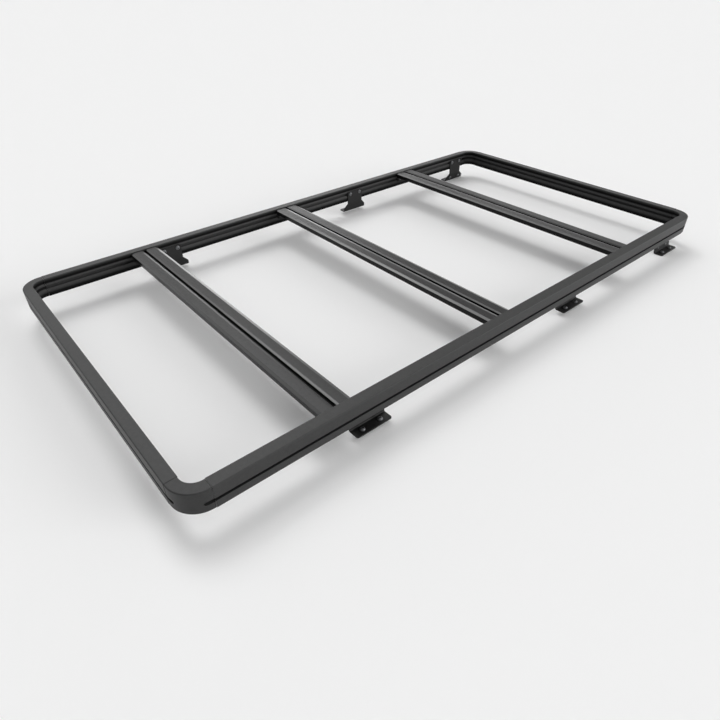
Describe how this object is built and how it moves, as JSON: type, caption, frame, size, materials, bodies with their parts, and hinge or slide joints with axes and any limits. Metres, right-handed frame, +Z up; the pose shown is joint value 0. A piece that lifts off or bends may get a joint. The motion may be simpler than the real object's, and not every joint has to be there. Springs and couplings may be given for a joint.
{
  "type": "roof rack",
  "caption": "Flat roof rack for a vehicle: slotted extrusion frame with rounded cast corners, slotted crossbars and bent plate feet.",
  "frame": {"origin": "under the middle of the frame, at the base of the lowest feet", "axes": "+X to the vehicle's left, +Y to the vehicle's rear, +Z up"},
  "size_m": [1.17, 2.188, 0.121],
  "materials": {
    "rail_coat": "fine textured black powder coat",
    "casting_coat": "fine textured black powder coat on cast aluminium",
    "plate_coat": "black powder coat on steel plate",
    "zinc": "zinc plated"
  },
  "bodies": {
    "root": {"rail_left": "rail_coat", "rail_right": "rail_coat", "rail_front": "rail_coat", "rail_rear": "rail_coat", "corner_front_left": "casting_coat", "corner_front_right": "casting_coat", "corner_rear_left": "casting_coat", "corner_rear_right": "casting_coat", "crossbar_front": "rail_coat", "crossbar_middle": "rail_coat", "crossbar_rear": "rail_coat", "bracket_front_left": "plate_coat", "bracket_front_right": "plate_coat", "bracket_middle_left": "plate_coat", "bracket_middle_right": "plate_coat", "bracket_rear_left": "plate_coat", "bracket_rear_right": "plate_coat", "foot_front_left": "plate_coat", "foot_front_right": "plate_coat", "foot_middle_left": "plate_coat", "foot_middle_right": "plate_coat", "foot_rear_left": "plate_coat", "foot_rear_right": "plate_coat", "foot_nut_front_left": "zinc", "foot_nut_front_right": "zinc", "foot_nut_middle_left": "zinc", "foot_nut_middle_right": "zinc", "foot_nut_rear_left": "zinc", "foot_nut_rear_right": "zinc", "bracket_nut_front_left": "zinc", "bracket_nut_front_right": "zinc", "bracket_nut_middle_left": "zinc", "bracket_nut_middle_right": "zinc", "bracket_nut_rear_left": "zinc", "bracket_nut_rear_right": "zinc", "tab_nut_front_left": "zinc", "tab_nut_front_right": "zinc", "tab_nut_middle_left": "zinc", "tab_nut_middle_right": "zinc", "tab_nut_rear_left": "zinc", "tab_nut_rear_right": "zinc"}
  },
  "joints": []
}
